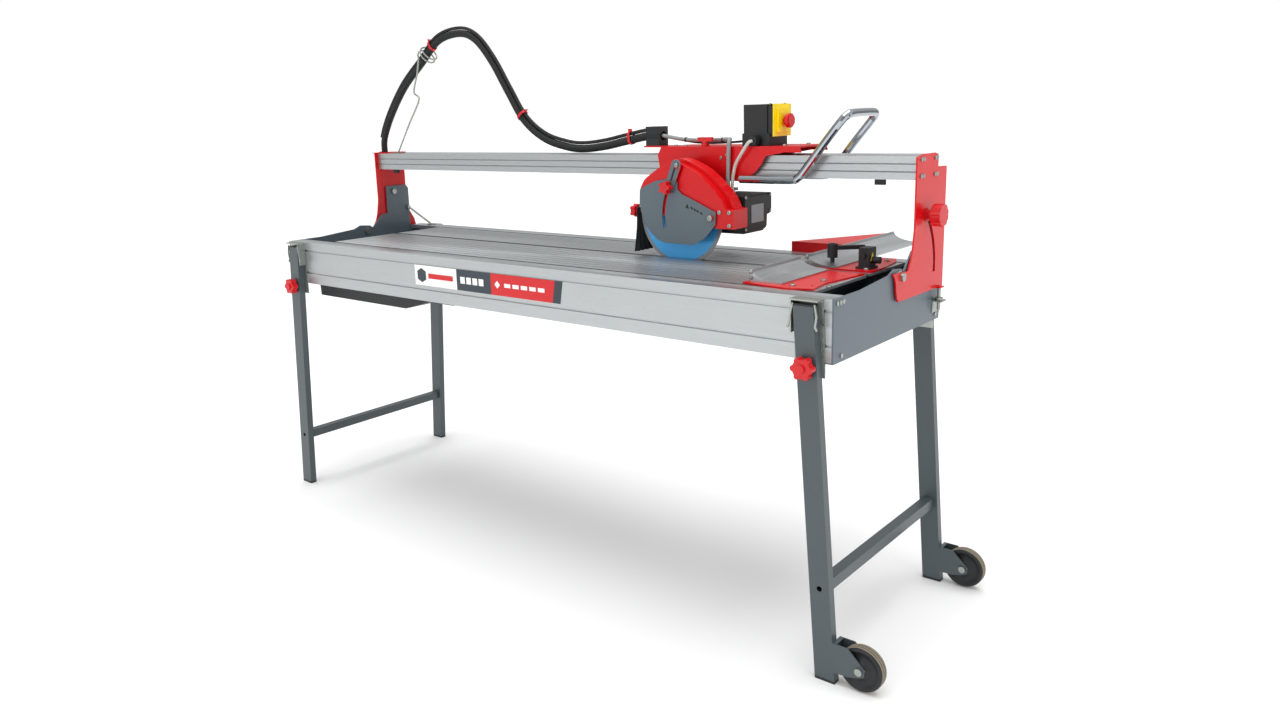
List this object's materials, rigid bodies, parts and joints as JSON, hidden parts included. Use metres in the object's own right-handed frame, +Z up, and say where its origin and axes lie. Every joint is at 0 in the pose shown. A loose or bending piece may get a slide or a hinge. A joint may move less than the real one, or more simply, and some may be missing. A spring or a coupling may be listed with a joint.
{
  "type": "wet tile saw",
  "caption": "Rail-type wet tile saw on folding wheeled legs: sliding, plunging and tilting head with a 250 mm blade over an aluminium table with a water tray.",
  "frame": {"origin": "on the floor under the middle of the overall box at rest", "axes": "+X along the rail towards the wheels, +Y to the rear away from the user, +Z up"},
  "size_m": [2.074, 0.824, 1.4456],
  "materials": {
    "silver": "satin",
    "grey_paint": "satin",
    "red_paint": "gloss",
    "zinc": "satin",
    "chrome": "polished",
    "black_plastic": "matte",
    "red_plastic": "gloss",
    "yellow_plastic": "gloss",
    "rubber": "matte",
    "blue_steel": "satin"
  },
  "bodies": {
    "frame": {"front_profile": "silver", "rear_profile": "silver", "left_end_plate": "grey_paint", "right_end_plate": "grey_paint", "cross_members": "grey_paint", "front_table": "silver", "rear_table": "silver", "frame_screws": "zinc", "water_tray": "black_plastic", "water_pump": "black_plastic", "leg_brackets": "zinc", "stop_base": "red_paint", "front_fence": "silver", "rear_fence": "silver", "support_wing": "red_paint", "laser_module": "black_plastic", "tilt_bolts": "zinc", "riser_brace": "zinc", "tilt_stops": "zinc"},
    "bridge": {"rail": "silver", "left_column": "red_paint", "right_column": "red_paint", "rail_screws": "zinc", "rail_bumpers": "rubber", "loom_support": "zinc"},
    "trolley": {"carriage": "red_paint", "carriage_rollers": "rubber", "loom_clamp": "black_plastic", "switch_box": "black_plastic", "handle": "chrome", "hose_loom": "rubber", "head_lines": "rubber"},
    "head": {"head_arm": "grey_paint", "motor": "black_plastic", "motor_box": "black_plastic", "guard_shell": "red_paint", "splash_curtain": "rubber"},
    "blade_set": {"blade": "blue_steel", "spindle": "zinc"},
    "cover": {"guard_cover": "grey_paint"},
    "cover_grip": {"cover_knob": "red_plastic"},
    "curtain_grip": {"curtain_knob": "red_plastic"},
    "depth_grip": {"depth_knob": "red_plastic"},
    "flap": {"switch_flap": "yellow_plastic"},
    "stop": {"stop_button": "red_plastic"},
    "clamp": {"clamp_lever": "black_plastic"},
    "left_tilt_grip": {"left_tilt_knob": "red_plastic"},
    "right_tilt_grip": {"right_tilt_knob": "red_plastic"},
    "left_stand": {"left_legs": "grey_paint", "left_caps": "black_plastic"},
    "right_stand": {"right_legs": "grey_paint", "right_caps": "black_plastic", "wheel_forks": "grey_paint", "wheel_axles": "zinc"},
    "front_roller": {"front_wheel": "rubber"},
    "rear_roller": {"rear_wheel": "rubber"},
    "front_left_grip": {"front_left_knob": "red_plastic"},
    "front_right_grip": {"front_right_knob": "red_plastic"},
    "rear_left_grip": {"rear_left_knob": "red_plastic"},
    "rear_right_grip": {"rear_right_knob": "red_plastic"}
  },
  "joints": [
    {"name": "tilt", "type": "hinge", "parent": "frame", "child": "bridge", "pos_m": [-0.041, -0.069, 0.805], "axis": [1, 0, 0], "range_deg": [0, 45], "deforming": ["splash_curtain"]},
    {"name": "travel", "type": "slide", "parent": "bridge", "child": "trolley", "axis": [1, 0, 0], "range_m": [-1.03, 0.17], "deforming": ["hose_loom"]},
    {"name": "plunge", "type": "hinge", "parent": "trolley", "child": "head", "pos_m": [0.164, 0.057, 0.972], "axis": [0, -1, 0], "range_deg": [0, 5], "deforming": ["head_lines"]},
    {"name": "blade_spin", "type": "hinge", "parent": "head", "child": "blade_set", "pos_m": [0.333, -0.069, 0.914], "axis": [0, 1, 0], "continuous": true},
    {"name": "cover_swing", "type": "hinge", "parent": "head", "child": "cover", "pos_m": [0.45, -0.103, 0.915], "axis": [0, 1, 0], "range_deg": [0, 12]},
    {"name": "cover_knob_turn", "type": "hinge", "parent": "head", "child": "cover_grip", "pos_m": [0.32702, -0.103, 0.986], "axis": [0, -1, 0], "continuous": true},
    {"name": "curtain_knob_turn", "type": "hinge", "parent": "head", "child": "curtain_grip", "pos_m": [0.202, -0.071, 0.92], "axis": [-1, 0, 0], "continuous": true},
    {"name": "depth_knob_turn", "type": "hinge", "parent": "trolley", "child": "depth_grip", "pos_m": [0.352, 0.013, 1.08], "axis": [0, 0, 1], "continuous": true},
    {"name": "flap_swing", "type": "hinge", "parent": "trolley", "child": "flap", "pos_m": [0.5389, 0.049, 1.1765], "axis": [0, -1, 0], "range_deg": [0, 80]},
    {"name": "stop_press", "type": "slide", "parent": "flap", "child": "stop", "axis": [-1, 0, 0], "range_m": [0, 0.004], "stiffness_N_per_m": 900},
    {"name": "clamp_turn", "type": "hinge", "parent": "frame", "child": "clamp", "pos_m": [0.716, -0.001, 0.823], "axis": [0, 0, 1], "range_deg": [0, 60]},
    {"name": "left_tilt_turn", "type": "hinge", "parent": "frame", "child": "left_tilt_grip", "pos_m": [-0.991, 0.05333, 0.92733], "axis": [-1, 0, 0], "continuous": true},
    {"name": "right_tilt_turn", "type": "hinge", "parent": "frame", "child": "right_tilt_grip", "pos_m": [0.909, 0.05333, 0.92733], "axis": [1, 0, 0], "continuous": true},
    {"name": "left_fold", "type": "hinge", "parent": "frame", "child": "left_stand", "pos_m": [-0.94483, -0.097, 0.669], "axis": [0, -1, 0], "range_deg": [0, 80]},
    {"name": "right_fold", "type": "hinge", "parent": "frame", "child": "right_stand", "pos_m": [0.86282, -0.097, 0.669], "axis": [0, 1, 0], "range_deg": [0, 80]},
    {"name": "front_wheel_roll", "type": "hinge", "parent": "right_stand", "child": "front_roller", "pos_m": [0.989, -0.367, 0.05], "axis": [0, 1, 0], "continuous": true},
    {"name": "rear_wheel_roll", "type": "hinge", "parent": "right_stand", "child": "rear_roller", "pos_m": [0.989, 0.189, 0.05], "axis": [0, 1, 0], "continuous": true},
    {"name": "front_left_knob_turn", "type": "hinge", "parent": "frame", "child": "front_left_grip", "pos_m": [-0.94483, -0.387, 0.669], "axis": [0, -1, 0], "continuous": true},
    {"name": "front_right_knob_turn", "type": "hinge", "parent": "frame", "child": "front_right_grip", "pos_m": [0.86282, -0.387, 0.669], "axis": [0, -1, 0], "continuous": true},
    {"name": "rear_left_knob_turn", "type": "hinge", "parent": "frame", "child": "rear_left_grip", "pos_m": [-0.94483, 0.193, 0.669], "axis": [0, 1, 0], "continuous": true},
    {"name": "rear_right_knob_turn", "type": "hinge", "parent": "frame", "child": "rear_right_grip", "pos_m": [0.86282, 0.193, 0.669], "axis": [0, 1, 0], "continuous": true}
  ]
}
